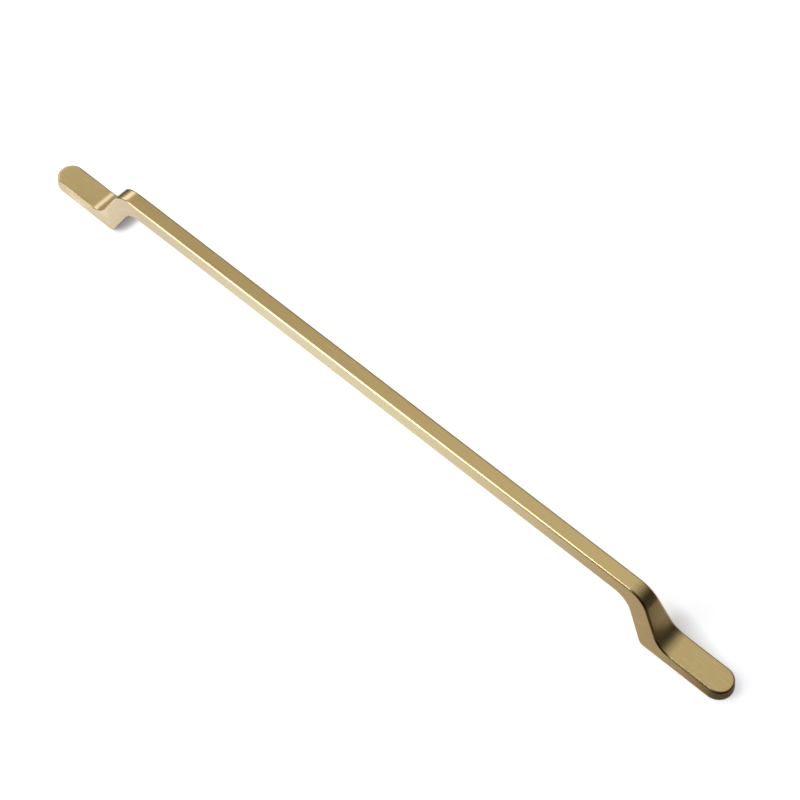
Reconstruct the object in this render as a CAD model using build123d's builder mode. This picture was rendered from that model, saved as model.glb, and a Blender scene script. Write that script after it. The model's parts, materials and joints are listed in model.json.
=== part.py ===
from build123d import *
import math
import os

# A cabinet pull made in one piece: a slim straight grip that steps down at each end
# through a leaning riser to a flat foot, which runs on outwards to a round toe.
# Z = 0 is the mounting plane, X runs along the grip and the middle of the pull is at X = 0.

# Fixing, in millimetres
hole_spacing = 320.0  # between the two fixing screws
thread_core = 3.3  # bore of the tapped hole, ready for an M4 thread
thread_depth = 7.0  # straight wall of the tapped hole, up from the mounting plane
drill_angle = 118.0  # degrees, across the cone that the drill leaves at the end
mouth_width = 4.4  # across the countersink at the mouth of the hole
mouth_angle = 90.0  # degrees, across the countersink

# Side view
height = 28.0  # mounting plane to the top of the grip
grip_thickness = 7.0
foot_thickness = 5.6
toe_reach = 37.0  # screw out to the end of the toe
heel_reach = 4.5  # screw back to the foot's inner corner, under the grip
root_length = 11.5  # along X, through the riser where it meets the mounting plane
outer_lean = 30.5  # degrees from upright, outer face of the riser
inner_lean = 29.0  # degrees from upright, inner face of the riser
shoulder_radius = 11.9  # where the riser turns into the top of the grip
instep_radius = 10.0  # where the riser turns out along the top of the foot
palm_radius = 11.0  # where the riser turns into the underside of the grip
heel_radius = 3.2  # where the riser turns into the sole

# Cross-section: both sides lean in evenly from the mounting plane to the top
base_width = 14.0  # across the foot on the mounting plane
crest_width = 7.0  # across the top of the grip
edge_radius = 1.1  # edges all round the upper side
sole_radius = 0.5  # edges all round the sole and the underside of the grip

overall_length = hole_spacing + 2 * toe_reach
side_draft = math.degrees(math.atan((base_width - crest_width) / 2 / height))
drill_cone = thread_core / 2 / math.tan(math.radians(drill_angle / 2))

heel_x = hole_spacing / 2 - heel_reach
palm_z = height - grip_thickness
palm_x = heel_x - palm_z * math.tan(math.radians(inner_lean))
root_x = heel_x + root_length
instep_x = root_x - foot_thickness * math.tan(math.radians(outer_lean))
shoulder_x = root_x - height * math.tan(math.radians(outer_lean))
past_toe = overall_length / 2 + base_width

with BuildPart() as bar_pull:
    # Plan outline: a long slot with round ends, drawn in all round as it rises
    with BuildSketch(Plane.XY):
        SlotOverall(overall_length, base_width)
    extrude(amount=height, taper=side_draft)

    # Upper outline in side view: top of the grip, risers and tops of the feet
    with BuildSketch(Plane.XZ) as upper_outline:
        with BuildLine():
            Polyline(
                (-past_toe, 0),
                (-past_toe, foot_thickness),
                (-instep_x, foot_thickness),
                (-shoulder_x, height),
                (shoulder_x, height),
                (instep_x, foot_thickness),
                (past_toe, foot_thickness),
                (past_toe, 0),
                close=True,
            )
        make_face()
        fillet(upper_outline.vertices().group_by(Axis.Y)[-1], shoulder_radius)
        foot_corners = upper_outline.vertices().group_by(Axis.Y)[1]
        insteps = foot_corners.filter_by_position(Axis.X, -instep_x - 0.1, instep_x + 0.1)
        fillet(insteps, instep_radius)
    extrude(amount=base_width, both=True, mode=Mode.INTERSECT)
    lengthwise = bar_pull.edges().filter_by(Plane.YZ, reverse=True)
    fillet(lengthwise.filter_by_position(Axis.Z, 0.1, height + 0.1), edge_radius)

    # Room for the fingers, between the inner faces of the risers and under the grip
    with BuildSketch(Plane.XZ) as finger_room:
        with BuildLine():
            Polyline(
                (-heel_x, 0),
                (-palm_x, palm_z),
                (palm_x, palm_z),
                (heel_x, 0),
                close=True,
            )
        make_face()
        fillet(finger_room.vertices().group_by(Axis.Y)[-1], palm_radius)
    extrude(amount=base_width, both=True, mode=Mode.SUBTRACT)
    heels = bar_pull.edges().group_by(Axis.Z)[0].filter_by(Axis.Y)
    fillet(heels, heel_radius)
    underneath = bar_pull.faces().filter_by(lambda face: face.normal_at().Z < -0.1)
    fillet(underneath.edges().filter_by(Plane.YZ, reverse=True), sole_radius)

    # Two blind tapped holes, driven up from the sole into the roots of the risers
    with Locations(*[Plane((x, 0, 0), z_dir=(0, 0, -1)) for x in (-hole_spacing / 2, hole_spacing / 2)]):
        CounterSinkHole(thread_core / 2, mouth_width / 2, thread_depth, mouth_angle)
    with Locations((-hole_spacing / 2, 0, thread_depth), (hole_spacing / 2, 0, thread_depth)):
        Cone(
            bottom_radius=thread_core / 2,
            top_radius=0,
            height=drill_cone,
            align=(Align.CENTER, Align.CENTER, Align.MIN),
            mode=Mode.SUBTRACT,
        )

bar_pull.part.label = "bar_pull"
os.makedirs("parts", exist_ok=True)
export_step(bar_pull.part, "parts/bar_pull.step")
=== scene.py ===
import bmesh
import bpy
import json
import math
from mathutils import Matrix, Vector


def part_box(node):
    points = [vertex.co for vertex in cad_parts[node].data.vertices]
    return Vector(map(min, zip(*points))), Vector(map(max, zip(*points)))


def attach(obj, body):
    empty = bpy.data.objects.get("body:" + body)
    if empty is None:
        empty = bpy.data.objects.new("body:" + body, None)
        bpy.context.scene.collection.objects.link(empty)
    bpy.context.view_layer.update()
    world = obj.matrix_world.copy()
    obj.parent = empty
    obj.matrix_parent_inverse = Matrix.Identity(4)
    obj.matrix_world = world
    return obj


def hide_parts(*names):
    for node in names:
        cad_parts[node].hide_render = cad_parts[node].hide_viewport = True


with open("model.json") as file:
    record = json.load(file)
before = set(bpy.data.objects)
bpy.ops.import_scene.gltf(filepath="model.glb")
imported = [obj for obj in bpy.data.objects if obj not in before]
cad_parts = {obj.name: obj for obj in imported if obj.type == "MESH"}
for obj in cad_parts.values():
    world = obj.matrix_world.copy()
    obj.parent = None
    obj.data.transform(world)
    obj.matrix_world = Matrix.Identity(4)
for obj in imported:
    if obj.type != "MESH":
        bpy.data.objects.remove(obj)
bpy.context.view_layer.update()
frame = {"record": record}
print("frame loaded")


# Metres throughout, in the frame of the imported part: X along the grip, Z up from the mounting plane.

def mountDims(name):
    return next(m["dims"] for m in frame["record"]["mounts"] if m["name"] == name)


pullShape = {
    "holeSpacing": mountDims("fixing_holes")["spacing_x_mm"] / 1000,
    "height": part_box("bar_pull")[1].z,
    "gripThickness": 0.0070,
    "footThickness": 0.0056,
    "toeReach": 0.03698,  # screw out to the end of the toe, 0.02 mm short as the solids' own facets are
    "heelReach": 0.0045,  # screw back to the foot's inner corner
    "rootLength": 0.0115,
    "outerLean": 30.5,  # degrees from upright
    "innerLean": 29.0,
    "shoulderRadius": 0.0119,
    "instepRadius": 0.0100,
    "palmRadius": 0.0110,
    "heelRadius": 0.0032,
    "baseWidth": 0.0140,
    "crestWidth": 0.0070,
    "edgeRadius": 0.0011,  # upper side
    "soleRadius": 0.0005,  # underneath
    "stretchSteps": (40, 24, 10, 20, 20),  # grip, shoulder, riser, instep, foot
    "flatSteps": 5,
    "sideSteps": 5,
    "edgeSteps": 10,
    "toeSteps": 56,
    "weld": 1e-7,  # points nearer than this become one
    "satinFrom": 0.0210,  # below this height the belt doesn't reach well, and the finish is duller
    "satinFade": 0.0080,
    "rootHeight": 0.0104,  # round this height the corner above each foot is rougher, and its colour holds a painted shade
    "rootSpread": 0.0044,
}


# Points and outward normals along a line with rounded corners, in side view
def strokeAlong(corners, radii, steps, outward):
    stations = []
    start = Vector(corners[0])
    for i, corner in enumerate(corners[1:], 1):
        corner = Vector(corner)
        ahead = (corner - Vector(corners[i - 1])).normalized()
        side = Vector((-ahead.y, ahead.x))
        end = corner
        if i <= len(radii):
            after = (Vector(corners[i + 1]) - corner).normalized()
            turn = math.atan2(ahead.x * after.y - ahead.y * after.x, ahead.dot(after))
            end = corner - ahead * radii[i - 1] * math.tan(abs(turn) / 2)
        straight = steps[2 * (i - 1)]
        stations += [(start.lerp(end, s / straight), side * outward) for s in range(straight)]
        if i <= len(radii):
            bend = math.copysign(radii[i - 1], turn)
            centre = end + side * bend
            curved = steps[2 * i - 1]
            for s in range(curved):
                now = Matrix.Rotation(turn * s / curved, 2) @ side
                stations.append((centre - now * bend, now * outward))
            start = centre - Vector((-after.y, after.x)) * bend
        else:
            stations.append((end, side * outward))
    return stations


def makePull(d):
    draft = math.atan((d["baseWidth"] - d["crestWidth"]) / 2 / d["height"])
    flank = Vector((0, math.cos(draft), math.sin(draft)))
    toeX = d["holeSpacing"] / 2 + d["toeReach"] - d["baseWidth"] / 2
    heelX = d["holeSpacing"] / 2 - d["heelReach"]
    rootX = heelX + d["rootLength"]
    palmZ = d["height"] - d["gripThickness"]
    outerSlope = math.tan(math.radians(d["outerLean"]))
    innerSlope = math.tan(math.radians(d["innerLean"]))
    upper = strokeAlong(
        [(0, d["height"]), (rootX - d["height"] * outerSlope, d["height"]),
         (rootX - d["footThickness"] * outerSlope, d["footThickness"]), (toeX, d["footThickness"])],
        [d["shoulderRadius"], d["instepRadius"]], d["stretchSteps"], 1)
    lower = strokeAlong(
        [(0, palmZ), (heelX - palmZ * innerSlope, palmZ), (heelX, 0), (toeX, 0)],
        [d["palmRadius"], d["heelRadius"]], d["stretchSteps"], -1)

    def halfWidth(z):
        return d["baseWidth"] / 2 - z * math.tan(draft)

    # One half of the cross-section, from the middle of the top round to the middle of the underside
    def halfSection(top, bottom):
        edges = []
        for (point, normal), radius in ((top, d["edgeRadius"]), (bottom, d["soleRadius"])):
            normal = Vector((normal.x, 0, normal.y))
            centre = Vector((point.x, 0, point.y)) - normal * radius
            centre.y = halfWidth(centre.z) - radius / math.cos(draft)
            arc = [normal.slerp(flank, s / d["edgeSteps"]) for s in range(d["edgeSteps"] + 1)]
            flat = centre + normal * radius
            shelf = [Vector((flat.x, flat.y * s / d["flatSteps"], flat.z)) for s in range(d["flatSteps"])]
            wear = [math.sin(math.pi * s / d["edgeSteps"]) for s in range(d["edgeSteps"] + 1)]
            wall = [s / d["edgeSteps"] for s in range(d["edgeSteps"] + 1)]
            edges.append([(p, 0.0, 0.0) for p in shelf]
                         + [(centre + n * radius, wear[i], wall[i]) for i, n in enumerate(arc)])
        rows = edges[0]
        fromPoint, toPoint = edges[0][-1][0], edges[1][-1][0]
        rows += [(fromPoint.lerp(toPoint, s / d["sideSteps"]), 0.0, 1.0) for s in range(1, d["sideSteps"])]
        return rows + edges[1][::-1]

    # The halves run from the middle of one side round the toe and back, then again for the other end
    sections = [halfSection(top, bottom) for top, bottom in zip(upper, lower)]
    travel = [0.0]
    for (top, _), (nextTop, _), (bottom, _), (nextBottom, _) in zip(upper, upper[1:], lower, lower[1:]):
        travel.append(travel[-1] + ((nextTop + nextBottom) / 2 - (top + bottom) / 2).length)
    loop = []
    for end in (1, -1):
        out = [(section, along, 0.0) for section, along in zip(sections, travel)]
        toe = [(sections[-1], travel[-1], math.pi * s / d["toeSteps"]) for s in range(1, d["toeSteps"])]
        back = [(section, along, math.pi) for section, along in zip(sections[::-1], travel[::-1])]
        for section, along, angle in out + toe + back:
            loop.append((section, along, angle, end))

    mesh = bmesh.new()
    edgeLayer = mesh.verts.layers.float.new("edge")
    grainLayer = mesh.verts.layers.float_vector.new("grain")
    satinLayer = mesh.verts.layers.float.new("satin")
    rootLayer = mesh.verts.layers.float.new("root")
    grid = []
    for section, along, angle, end in loop:
        column = []
        girth = 0.0
        last = section[0][0]
        satin = min(1.0, max(0.0, (d["satinFrom"] - last.z) / d["satinFade"]))
        # The corner mask: rougher there, and darkened by a painted shade
        root = max(0.0, 1 - abs(last.z - d["rootHeight"]) / d["rootSpread"])
        for point, wear, wall in section:
            girth += (point - last).length
            last = point
            x = point.x + point.y * math.sin(angle)
            y = point.y * math.cos(angle)
            vert = mesh.verts.new((x * end, y * end, point.z))
            vert[edgeLayer] = wear
            vert[satinLayer] = satin
            vert[rootLayer] = root * (1 - wall)
            reach = along + (math.pi / 2 - abs(angle - math.pi / 2)) * halfWidth(0)
            flatTo = Vector((along + x - point.x, y * end, 0))
            wallTo = Vector((reach, girth * end * (1 if angle < math.pi / 2 else -1), 0))
            vert[grainLayer] = flatTo.lerp(wallTo, wall)
            vert[grainLayer].x *= end
            column.append(vert)
        grid.append(column)
    for here, there in zip(grid, grid[1:] + grid[:1]):
        for i in range(len(here) - 1):
            mesh.faces.new((here[i], here[i + 1], there[i + 1], there[i]))
    bmesh.ops.remove_doubles(mesh, verts=mesh.verts, dist=d["weld"])
    bmesh.ops.recalc_face_normals(mesh, faces=mesh.faces)
    return mesh


threadShape = {
    "coreRadius": mountDims("fixing_holes")["hole_r_mm"] / 1000,
    "groove": 0.00034,  # depth of the M4 thread's groove
    "pitch": 0.0007,
    "depth": 0.0070,
    "runOut": 0.0062,  # where the groove has faded out
    "grooveFloor": 1.35,  # the more above 1, the wider the groove's flat floor
    "grooveSlope": 3.2,  # the higher, the steeper its flanks
    "mouthRadius": 0.0022,
    "drillAngle": 118.0,
    "overrun": 0.0004,  # how far the cutter starts below the sole
    "leadTurns": 2,  # turns that start below the cutter, so that its lower end comes out flat
    "turnSteps": 48,
    "pitchSteps": 8,
    "weld": 1e-6,
    "sliver": 1e-7,  # edges shorter than this are dissolved
}


# The drill and the tap in one solid, to be cut out of the pull
def makeThreadCutter(d, holeX):
    def radiusAt(turn, z):
        phase = (z / d["pitch"] - turn) % 1.0
        tooth = min(1.0, max(0.0, d["grooveFloor"] - abs(phase - 0.5) * d["grooveSlope"]))
        fade = min(1.0, max(0.0, (d["runOut"] - z) / d["pitch"]))
        return max(d["coreRadius"] + d["groove"] * tooth * fade, d["mouthRadius"] - z)

    mesh = bmesh.new()
    rows = []
    first = -int(d["overrun"] / d["pitch"] * d["pitchSteps"]) - d["leadTurns"] * d["pitchSteps"]
    last = int(d["depth"] / d["pitch"] * d["pitchSteps"]) + 1
    for k in range(first, last + 1):
        row = []
        for i in range(d["turnSteps"] + 1):
            turn = i / d["turnSteps"]
            z = d["pitch"] * (k / d["pitchSteps"] + turn)
            z = min(d["depth"], max(-d["overrun"], z))
            r = radiusAt(turn, z)
            angle = 2 * math.pi * turn
            row.append(mesh.verts.new((holeX + r * math.cos(angle), r * math.sin(angle), z)))
        rows.append(row)
    for below, above in zip(rows, rows[1:]):
        for i in range(d["turnSteps"]):
            mesh.faces.new((below[i], below[i + 1], above[i + 1], above[i]))
    cone = d["coreRadius"] / math.tan(math.radians(d["drillAngle"] / 2))
    point = mesh.verts.new((holeX, 0, d["depth"] + cone))
    foot = mesh.verts.new((holeX, 0, -d["overrun"]))
    for i in range(d["turnSteps"]):
        mesh.faces.new((rows[-1][i], rows[-1][i + 1], point))
        mesh.faces.new((rows[0][i + 1], rows[0][i], foot))
    bmesh.ops.remove_doubles(mesh, verts=mesh.verts, dist=d["weld"])
    bmesh.ops.dissolve_degenerate(mesh, edges=mesh.edges, dist=d["sliver"])
    bmesh.ops.recalc_face_normals(mesh, faces=mesh.faces)
    return mesh


def objectFrom(mesh, name):
    data = bpy.data.meshes.new(name)
    mesh.to_mesh(data)
    mesh.free()
    piece = bpy.data.objects.new(name, data)
    bpy.context.scene.collection.objects.link(piece)
    return piece


shading = {
    "sharpAngle": 32,  # degrees, edges that stay sharp
    "weight": 100,  # how much the large faces set the normals of their edges
}

pull = objectFrom(makePull(pullShape), "pull")
for side in (-1, 1):
    cutter = objectFrom(makeThreadCutter(threadShape, side * pullShape["holeSpacing"] / 2), "threadCutter")
    cut = pull.modifiers.new("thread", "BOOLEAN")
    cut.operation = "DIFFERENCE"
    cut.solver = "EXACT"
    cut.object = cutter
    depsgraph = bpy.context.evaluated_depsgraph_get()
    tapped = bpy.data.meshes.new_from_object(pull.evaluated_get(depsgraph))
    pull.modifiers.clear()
    pull.data = tapped
    bpy.data.objects.remove(cutter)
pull.data.shade_smooth()
pull.data.set_sharp_from_angle(angle=math.radians(shading["sharpAngle"]))
shade = pull.modifiers.new("evenShading", "WEIGHTED_NORMAL")
shade.keep_sharp = True
shade.weight = shading["weight"]
sizeMm = [round(v * 1000, 2) for v in pull.dimensions]
print("pull made:", len(pull.data.polygons), "faces, size", sizeMm)


def newGroup(name, inputs, outputs):
    group = bpy.data.node_groups.new(name, "ShaderNodeTree")
    for socket, kind, value in inputs:
        made = group.interface.new_socket(socket, in_out="INPUT", socket_type=kind)
        if value is not None:
            made.default_value = value
    for socket, kind in outputs:
        group.interface.new_socket(socket, in_out="OUTPUT", socket_type=kind)
    return group, group.nodes.new("NodeGroupInput"), group.nodes.new("NodeGroupOutput")


def addNode(tree, kind, settings=None, inputs=None):
    node = tree.nodes.new(kind)
    for name, value in (settings or {}).items():
        setattr(node, name, value)
    for name, value in (inputs or {}).items():
        node.inputs[name].default_value = value
    return node


def math2(tree, operation, a, b, clamp=False):
    node = addNode(tree, "ShaderNodeMath", {"operation": operation, "use_clamp": clamp})
    for i, value in enumerate((a, b)):
        if isinstance(value, bpy.types.NodeSocket):
            tree.links.new(value, node.inputs[i])
        else:
            node.inputs[i].default_value = value
    return node.outputs[0]


grainNoise = {
    # For each output, how many line lengths long and line widths wide its streaks are, and their detail
    "streaks": (("Lines", 1.0, 1.0, 3.0), ("Bands", 3.0, 7.0, 2.0)),
    "roughness": 0.6,
}


# Fine lines left by the abrasive belt: long along the grain, thin across it
def makeBrushedGrain(d):
    group, start, end = newGroup(
        "brushedGrain",
        [("Along", "NodeSocketVector", None), ("Line Length", "NodeSocketFloat", 0.02),
         ("Line Width", "NodeSocketFloat", 0.0002)],
        [("Lines", "NodeSocketFloat"), ("Bands", "NodeSocketFloat")])
    split = addNode(group, "ShaderNodeSeparateXYZ")
    group.links.new(start.outputs["Along"], split.inputs[0])
    for output, longer, wider, detail in d["streaks"]:
        place = addNode(group, "ShaderNodeCombineXYZ")
        for axis, socket, factor in (("X", "Line Length", longer), ("Y", "Line Width", wider)):
            size = math2(group, "MULTIPLY", start.outputs[socket], factor)
            group.links.new(math2(group, "DIVIDE", split.outputs[axis], size), place.inputs[axis])
        noise = addNode(group, "ShaderNodeTexNoise", {"noise_dimensions": "2D"},
                        {"Scale": 1.0, "Detail": detail, "Roughness": d["roughness"]})
        group.links.new(place.outputs[0], noise.inputs["Vector"])
        group.links.new(noise.outputs["Fac"], end.inputs[output])
    return group


handlingNoise = {
    "patchDetail": 3.0,
    "scratchDetail": 1.0,
    "roughness": 0.5,
}


# Soft uneven patches, and the few short scratches that cross the grain
def makeHandling(d):
    group, start, end = newGroup(
        "handling",
        [("Position", "NodeSocketVector", None), ("Patch Size", "NodeSocketFloat", 0.03),
         ("Scratch Length", "NodeSocketFloat", 0.006), ("Scratch Width", "NodeSocketFloat", 0.0003),
         ("Scratch Angle", "NodeSocketFloat", 0.6), ("Scratch Start", "NodeSocketFloat", 0.6),
         ("Scratch Depth", "NodeSocketFloat", 8.0)],
        [("Patches", "NodeSocketFloat"), ("Scratches", "NodeSocketFloat")])
    scale = addNode(group, "ShaderNodeVectorMath", {"operation": "SCALE"})
    group.links.new(start.outputs["Position"], scale.inputs[0])
    group.links.new(math2(group, "DIVIDE", 1.0, start.outputs["Patch Size"]), scale.inputs["Scale"])
    patches = addNode(group, "ShaderNodeTexNoise", None,
                      {"Scale": 1.0, "Detail": d["patchDetail"], "Roughness": d["roughness"]})
    group.links.new(scale.outputs[0], patches.inputs["Vector"])
    group.links.new(patches.outputs["Fac"], end.inputs["Patches"])
    turn = addNode(group, "ShaderNodeVectorRotate", {"rotation_type": "Y_AXIS"})
    group.links.new(start.outputs["Position"], turn.inputs["Vector"])
    group.links.new(start.outputs["Scratch Angle"], turn.inputs["Angle"])
    split = addNode(group, "ShaderNodeSeparateXYZ")
    group.links.new(turn.outputs[0], split.inputs[0])
    place = addNode(group, "ShaderNodeCombineXYZ")
    for axis, socket in (("X", "Scratch Length"), ("Y", "Scratch Width"), ("Z", "Scratch Length")):
        share = math2(group, "DIVIDE", split.outputs[axis], start.outputs[socket])
        group.links.new(share, place.inputs[axis])
    noise = addNode(group, "ShaderNodeTexNoise", None,
                    {"Scale": 1.0, "Detail": d["scratchDetail"], "Roughness": d["roughness"]})
    group.links.new(place.outputs[0], noise.inputs["Vector"])
    deep = math2(group, "SUBTRACT", noise.outputs["Fac"], start.outputs["Scratch Start"])
    cut = math2(group, "MULTIPLY", deep, start.outputs["Scratch Depth"], True)
    group.links.new(cut, end.inputs["Scratches"])
    return group


brassFinish = {
    "deep": (0.635, 0.495, 0.220, 1),  # linear colour between the lines
    "bright": (0.810, 0.655, 0.365, 1),  # on the lines and along worn edges
    "paintedCornerShade": (0.330, 0.245, 0.115, 1),  # painted shade in the corner above each foot
    "baseTone": 0.5,  # between deep and bright, before the effects
    "edgeTint": (0.92, 0.84, 0.66, 1),
    "roughness": 0.29,
    "grainRoughness": 0.08,
    "patchRoughness": 0.06,
    "satinRoughness": 0.05,
    "rootRoughness": 0.12,
    "cornerShadeAmount": 0.50,  # how far the painted shade colour shows there
    "edgePolish": 0.06,
    "coatWeight": 0.6,
    "coatRoughness": 0.22,
    "coatIor": 1.6,
    "lineLength": 0.020,
    "lineWidth": 0.00026,
    "patchSize": 0.022,
    "scratchLength": 0.007,
    "scratchWidth": 0.0004,
    "scratchAngle": 0.5,
    "scratchStart": 0.58,  # higher leaves fewer scratches
    "scratchDepth": 8.0,
    "edgeTone": 0.5,  # how far worn edges turn bright
    "bumpHeight": 0.0000015,
    # How much each effect moves the tone, on the grip and in the satin parts
    "toneOf": {
        "lines": (0.55, 0.20),
        "bands": (0.50, 0.25),
        "patches": (0.20, 0.50),
        "scratches": (0.0, 0.80),
    },
}


noiseMiddle = 0.5  # the value that Blender's noise swings about


def makeBrass(d):
    material = bpy.data.materials.new("satinBrass")
    material.use_nodes = True
    tree = material.node_tree
    tree.nodes.clear()
    out = addNode(tree, "ShaderNodeOutputMaterial")
    metal = addNode(tree, "ShaderNodeBsdfPrincipled", None,
                    {"Metallic": 1.0, "Specular Tint": d["edgeTint"], "Coat Weight": d["coatWeight"],
                     "Coat Roughness": d["coatRoughness"], "Coat IOR": d["coatIor"]})
    tree.links.new(metal.outputs[0], out.inputs["Surface"])

    along = addNode(tree, "ShaderNodeAttribute", {"attribute_name": "grain"})
    edge = addNode(tree, "ShaderNodeAttribute", {"attribute_name": "edge"})
    satin = addNode(tree, "ShaderNodeAttribute", {"attribute_name": "satin"}).outputs["Fac"]
    place = addNode(tree, "ShaderNodeTexCoord")
    grain = addNode(tree, "ShaderNodeGroup", {"node_tree": makeBrushedGrain(grainNoise)},
                    {"Line Length": d["lineLength"], "Line Width": d["lineWidth"]})
    tree.links.new(along.outputs["Vector"], grain.inputs["Along"])
    handling = addNode(tree, "ShaderNodeGroup", {"node_tree": makeHandling(handlingNoise)},
                       {"Patch Size": d["patchSize"], "Scratch Length": d["scratchLength"],
                        "Scratch Width": d["scratchWidth"], "Scratch Angle": d["scratchAngle"],
                        "Scratch Start": d["scratchStart"], "Scratch Depth": d["scratchDepth"]})
    tree.links.new(place.outputs["Object"], handling.inputs["Position"])

    effects = {"lines": grain.outputs["Lines"], "bands": grain.outputs["Bands"],
               "patches": handling.outputs["Patches"], "scratches": handling.outputs["Scratches"]}
    worn = math2(tree, "MULTIPLY", edge.outputs["Fac"], effects["patches"])
    tone = math2(tree, "MULTIPLY", worn, d["edgeTone"])
    for name, (onGrip, inSatin) in d["toneOf"].items():
        share = math2(tree, "ADD", math2(tree, "MULTIPLY", satin, inSatin - onGrip), onGrip)
        centred = math2(tree, "SUBTRACT", effects[name], 0.0 if name == "scratches" else noiseMiddle)
        tone = math2(tree, "ADD", tone, math2(tree, "MULTIPLY", centred, share))
    tone = math2(tree, "ADD", tone, d["baseTone"], True)
    colour = addNode(tree, "ShaderNodeMix", {"data_type": "RGBA"})
    colour.inputs["A"].default_value = d["deep"]
    colour.inputs["B"].default_value = d["bright"]
    tree.links.new(tone, colour.inputs["Factor"])
    # Painted shade: the corner above each foot is mixed towards a darker colour
    root = addNode(tree, "ShaderNodeAttribute", {"attribute_name": "root"})
    cornerShaded = addNode(tree, "ShaderNodeMix", {"data_type": "RGBA"})
    tree.links.new(math2(tree, "MULTIPLY", root.outputs["Fac"], d["cornerShadeAmount"]), cornerShaded.inputs["Factor"])
    tree.links.new(colour.outputs["Result"], cornerShaded.inputs["A"])
    cornerShaded.inputs["B"].default_value = d["paintedCornerShade"]
    tree.links.new(cornerShaded.outputs["Result"], metal.inputs["Base Color"])

    lined = math2(tree, "SUBTRACT", effects["lines"], noiseMiddle)
    rough = math2(tree, "MULTIPLY", lined, d["grainRoughness"])
    patched = math2(tree, "SUBTRACT", effects["patches"], noiseMiddle)
    patchy = math2(tree, "MULTIPLY", patched, d["patchRoughness"])
    rough = math2(tree, "ADD", math2(tree, "ADD", rough, d["roughness"]), patchy)
    flat = math2(tree, "SUBTRACT", 1.0, edge.outputs["Fac"])
    duller = math2(tree, "MULTIPLY", math2(tree, "MULTIPLY", satin, flat), d["satinRoughness"])
    matter = math2(tree, "MULTIPLY", root.outputs["Fac"], d["rootRoughness"])
    duller = math2(tree, "ADD", duller, matter)
    rough = math2(tree, "ADD", rough, duller)
    polish = math2(tree, "MULTIPLY", edge.outputs["Fac"], d["edgePolish"])
    rough = math2(tree, "SUBTRACT", rough, polish, True)
    tree.links.new(rough, metal.inputs["Roughness"])

    bump = addNode(tree, "ShaderNodeBump", None, {"Strength": 1.0, "Distance": d["bumpHeight"]})
    tree.links.new(effects["lines"], bump.inputs["Height"])
    tree.links.new(bump.outputs[0], metal.inputs["Normal"])
    return material


pull.data.materials.clear()
pull.data.materials.append(makeBrass(brassFinish))
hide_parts("bar_pull")
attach(pull, "root")
print("brass made")


def addRamp(tree, source, stops):
    first, last = stops[0][0], stops[-1][0]
    share = math2(tree, "DIVIDE", math2(tree, "SUBTRACT", source, first), last - first, True)
    ramp = addNode(tree, "ShaderNodeValToRGB")
    tree.links.new(share, ramp.inputs[0])
    points = ramp.color_ramp.elements
    while len(points) < len(stops):
        points.new(0.5)
    for point, (place, level) in zip(points, stops):
        point.position = (place - first) / (last - first)
        point.color = (level if isinstance(level, tuple) else (level,) * 3) + (1,)
    return ramp.outputs["Color"]


floorSetting = {
    "halfSize": 6.0,
    "z": -0.0001,
    "colour": (0.93, 0.95, 1.0, 1),
    "paper": 0.80,  # how much of that colour the paper itself scatters
    "cameraLift": ((-0.168, 1.00), (-0.154, 0.77), (0.08, 0.72)),  # what the camera sees above the lit paper
    "mirrorLift": 0.95,  # what the metal sees above it
    # How far the pull's shade reaches on that lift, along X, and how deep it is, along X askew
    "shadeReach": ((-0.150, 0.0048), (0.105, 0.0050), (0.130, 0.0150), (0.165, 0.0110), (0.190, 0.0040)),
    "shadeDepth": ((-0.172, 0.25), (-0.161, 1.80), (-0.150, 1.80), (-0.1465, 0.60), (0.090, 0.85),
                   (0.114, 2.10), (0.146, 1.70), (0.174, 0.35)),
    "shadeSide": (-0.62, -0.76, 0.22),  # the way to whatever casts that shade
    "shadeSamples": 8,
    "slant": 0.8,  # shades on the paper run askew: so much of Y is taken from X
    # The paper's tone with painted light and shade, as the metal sees it, from past the left toe to past the
    # right toe: metres, colour
    "mirrorToneAndShade": (
        (-0.262, (0.050, 0.045, 0.040)),
        (-0.234, (0.100, 0.095, 0.090)),
        (-0.212, (0.340, 0.350, 0.380)),
        (-0.190, (0.640, 0.670, 0.780)),
        (-0.172, (0.770, 0.820, 0.990)),
        (-0.140, (0.640, 0.650, 0.790)),
        (-0.055, (0.775, 0.825, 1.000)),
        (0.035, (0.745, 0.800, 0.875)),
        (0.090, (0.657, 0.648, 0.685)),
        (0.140, (0.472, 0.442, 0.416)),
        (0.165, (0.425, 0.374, 0.327)),
        (0.178, (0.395, 0.350, 0.303)),
        (0.190, (0.285, 0.238, 0.195)),
        (0.200, (0.095, 0.083, 0.070)),
        (0.215, (0.040, 0.035, 0.030)),
    ),
}


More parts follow.
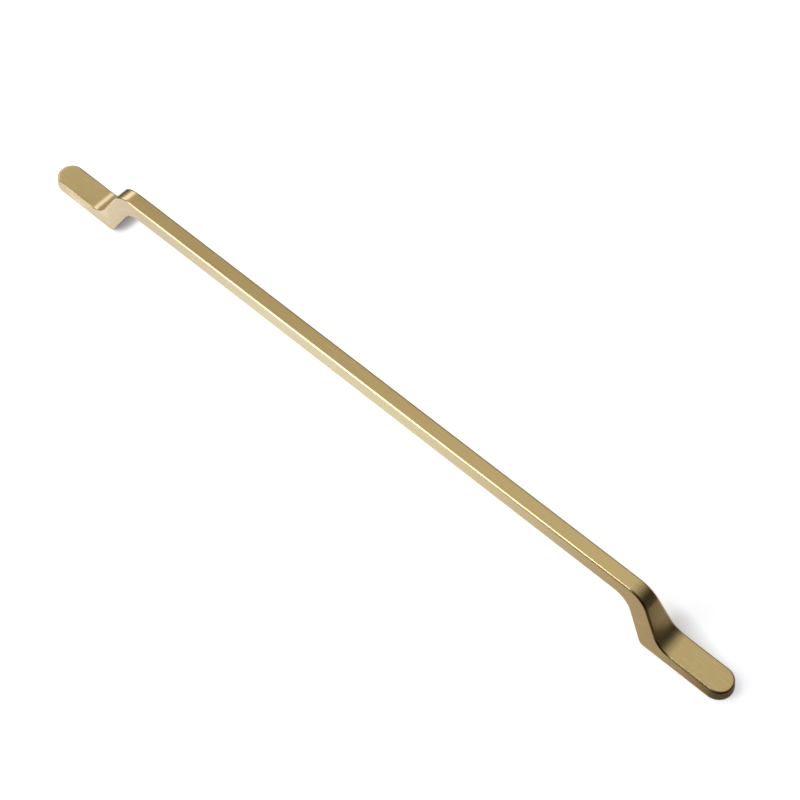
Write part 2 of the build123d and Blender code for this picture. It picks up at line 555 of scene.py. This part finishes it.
def makeFloor(d):
    mesh = bmesh.new()
    corners = [(-1, -1), (1, -1), (1, 1), (-1, 1)]
    mesh.faces.new([mesh.verts.new((x * d["halfSize"], y * d["halfSize"], d["z"])) for x, y in corners])
    floor = objectFrom(mesh, "floor")
    material = bpy.data.materials.new("paleFloor")
    material.use_nodes = True
    tree = material.node_tree
    tree.nodes.clear()
    out = addNode(tree, "ShaderNodeOutputMaterial")
    rays = addNode(tree, "ShaderNodeLightPath")
    mirrored = math2(tree, "MAXIMUM", rays.outputs["Is Glossy Ray"], rays.outputs["Is Transmission Ray"])
    place = addNode(tree, "ShaderNodeTexCoord")
    split = addNode(tree, "ShaderNodeSeparateXYZ")
    tree.links.new(place.outputs["Object"], split.inputs[0])
    taken = math2(tree, "MULTIPLY", split.outputs["Y"], d["slant"])
    askew = math2(tree, "SUBTRACT", split.outputs["X"], taken)
    # Painted light and shade: the metal sees the paper lighter to the left and dark past each toe, the
    # camera sees it untoned
    mirrorShaded = addNode(tree, "ShaderNodeMix", {"data_type": "RGBA"})
    mirrorShaded.inputs["A"].default_value = (1, 1, 1, 1)
    tree.links.new(mirrored, mirrorShaded.inputs["Factor"])
    tree.links.new(addRamp(tree, askew, d["mirrorToneAndShade"]), mirrorShaded.inputs["B"])
    tone = addNode(tree, "ShaderNodeMix", {"data_type": "RGBA", "blend_type": "MULTIPLY"})
    tone.inputs["Factor"].default_value = 1.0
    tone.inputs["A"].default_value = d["colour"]
    tree.links.new(mirrorShaded.outputs["Result"], tone.inputs["B"])
    paper = addNode(tree, "ShaderNodeBsdfDiffuse")
    glow = addNode(tree, "ShaderNodeEmission")
    scattered = addNode(tree, "ShaderNodeVectorMath", {"operation": "SCALE"}, {"Scale": d["paper"]})
    tree.links.new(tone.outputs["Result"], scattered.inputs[0])
    tree.links.new(scattered.outputs[0], paper.inputs["Color"])
    tree.links.new(tone.outputs["Result"], glow.inputs["Color"])
    openness = addNode(tree, "ShaderNodeAmbientOcclusion", {"samples": d["shadeSamples"]})
    tree.links.new(addRamp(tree, split.outputs["X"], d["shadeReach"]), openness.inputs["Distance"])
    side = addNode(tree, "ShaderNodeCombineXYZ", None, dict(zip("XYZ", d["shadeSide"])))
    tree.links.new(side.outputs[0], openness.inputs["Normal"])
    cameraLift = addRamp(tree, split.outputs["X"], d["cameraLift"])
    lift = math2(tree, "MULTIPLY", rays.outputs["Is Camera Ray"], cameraLift)
    lift = math2(tree, "ADD", lift, math2(tree, "MULTIPLY", mirrored, d["mirrorLift"]))
    shade = math2(tree, "POWER", openness.outputs["AO"], addRamp(tree, askew, d["shadeDepth"]))
    tree.links.new(math2(tree, "MULTIPLY", lift, shade), glow.inputs["Strength"])
    both = addNode(tree, "ShaderNodeAddShader")
    tree.links.new(paper.outputs[0], both.inputs[0])
    tree.links.new(glow.outputs[0], both.inputs[1])
    tree.links.new(both.outputs[0], out.inputs["Surface"])
    floor.data.materials.append(material)


makeFloor(floorSetting)
print("floor laid")


# Each lamp: where it stands, its width and height in metres, its brightness as seen (1 is white) and colour
lamps = {
    "frontBox": {"shape": "ELLIPSE", "at": (-0.365, -0.72, 0.57), "size": (0.53, 1.22), "seen": 3.5,
                 "colour": (0.96, 0.94, 0.92)},
    "leftBox": {"shape": "RECTANGLE", "at": (-1.05, 0.10, 0.52), "size": (1.20, 0.42), "seen": 1.45,
                "colour": (0.78, 0.83, 1.0)},
}


def makeLamps(settings):
    for name, d in settings.items():
        light = bpy.data.lights.new(name, "AREA")
        light.shape = d["shape"]
        light.size, light.size_y = d["size"]
        area = d["size"][0] * d["size"][1] * (math.pi / 4 if d["shape"] == "ELLIPSE" else 1)
        light.energy = d["seen"] * area * math.pi
        light.color = d["colour"]
        lamp = bpy.data.objects.new(name, light)
        lamp.location = d["at"]
        lamp.rotation_euler = Vector(d["at"]).to_track_quat("Z", "Y").to_euler()
        bpy.context.scene.collection.objects.link(lamp)


dome = {
    "colour": (1.0, 0.935, 0.80, 1),
    # Brightness round the dome from the left horizon over the top to the right one: degrees, level
    "arch": (
        (-90, (0.300, 0.280, 0.270)),
        (-70, (0.430, 0.410, 0.370)),
        (-45, (0.500, 0.480, 0.420)),
        (-36, (0.410, 0.375, 0.310)),
        (-28, (0.455, 0.435, 0.380)),
        (-20, (0.735, 0.735, 0.700)),
        (-14, (0.850, 0.865, 0.850)),
        (-10, (0.820, 0.830, 0.820)),
        (-5, (0.545, 0.555, 0.550)),
        (5, (0.560, 0.565, 0.550)),
        (18, (0.420, 0.420, 0.410)),
        (32, (0.200, 0.200, 0.200)),
        (48, (0.053, 0.053, 0.053)),
        (62, (0.027, 0.027, 0.027)),
        (90, (0.060, 0.060, 0.060)),
    ),
    # The same from the front horizon and from the back one: sine of the angle, share
    "front": ((-0.30, 0.10), (0.0, 0.55), (0.25, 1.0)),
    "back": ((0.62, 1.0), (0.85, 0.25)),
    "slant": 1.8,  # the front is lighter to the left: so much of X counts as depth there
}


# A soft dome, light at the top and dim to the right and in front
def makeDome(d):
    world = bpy.data.worlds.new("dome")
    world.use_nodes = True
    tree = world.node_tree
    background = tree.nodes["Background"]
    place = addNode(tree, "ShaderNodeTexCoord")
    split = addNode(tree, "ShaderNodeSeparateXYZ")
    tree.links.new(place.outputs["Generated"], split.inputs[0])
    turned = math2(tree, "ARCTAN2", split.outputs["X"], split.outputs["Z"])
    angle = math2(tree, "MULTIPLY", turned, 180 / math.pi)
    arch = addRamp(tree, angle, d["arch"])
    leftward = math2(tree, "MULTIPLY", math2(tree, "MINIMUM", split.outputs["X"], 0.0), d["slant"])
    front = addRamp(tree, math2(tree, "SUBTRACT", split.outputs["Y"], leftward), d["front"])
    back = addRamp(tree, split.outputs["Y"], d["back"])
    depth = math2(tree, "MULTIPLY", front, back)
    tone = addNode(tree, "ShaderNodeMix", {"data_type": "RGBA", "blend_type": "MULTIPLY"})
    tone.inputs["Factor"].default_value = 1.0
    tree.links.new(arch, tone.inputs["A"])
    tree.links.new(depth, tone.inputs["B"])
    warm = addNode(tree, "ShaderNodeMix", {"data_type": "RGBA", "blend_type": "MULTIPLY"})
    warm.inputs["Factor"].default_value = 1.0
    warm.inputs["A"].default_value = d["colour"]
    tree.links.new(tone.outputs["Result"], warm.inputs["B"])
    tree.links.new(warm.outputs["Result"], background.inputs["Color"])
    bpy.context.scene.world = world


makeDome(dome)
makeLamps(lamps)
print("lamps placed")


cameraFit = {
    "azimuth": 0.73132,  # radians round the pull, from -Y towards +X
    "elevation": 1.01345,  # radians above the mounting plane
    "distance": 0.84002,
    "sideways": 0.013373,
    "upwards": 0.005854,
    "roll": 0.00468,  # radians
    "focalPixels": 1924.29,
    "framePixels": 800,
    "sensorWidth": 36.0,  # millimetres
    "nearest": 0.01,
}


def makeCamera(d):
    turn, tilt = d["azimuth"], d["elevation"]
    back = Vector((math.sin(turn) * math.cos(tilt), -math.cos(turn) * math.cos(tilt), math.sin(tilt)))
    right = Vector((math.cos(turn), math.sin(turn), 0))
    up = back.cross(right)
    rolledRight = right * math.cos(d["roll"]) + up * math.sin(d["roll"])
    rolledUp = up * math.cos(d["roll"]) - right * math.sin(d["roll"])
    data = bpy.data.cameras.new("camera")
    data.sensor_width = d["sensorWidth"]
    data.lens = d["focalPixels"] / d["framePixels"] * data.sensor_width
    data.clip_start = d["nearest"]
    camera = bpy.data.objects.new("camera", data)
    axes = Matrix((rolledRight, rolledUp, back)).transposed()
    place = back * d["distance"] + rolledRight * d["sideways"] + rolledUp * d["upwards"]
    camera.matrix_world = Matrix.Translation(place) @ axes.to_4x4()
    bpy.context.scene.collection.objects.link(camera)
    bpy.context.scene.camera = camera


makeCamera(cameraFit)
bpy.context.scene.view_settings.view_transform = "Standard"
print("camera placed")
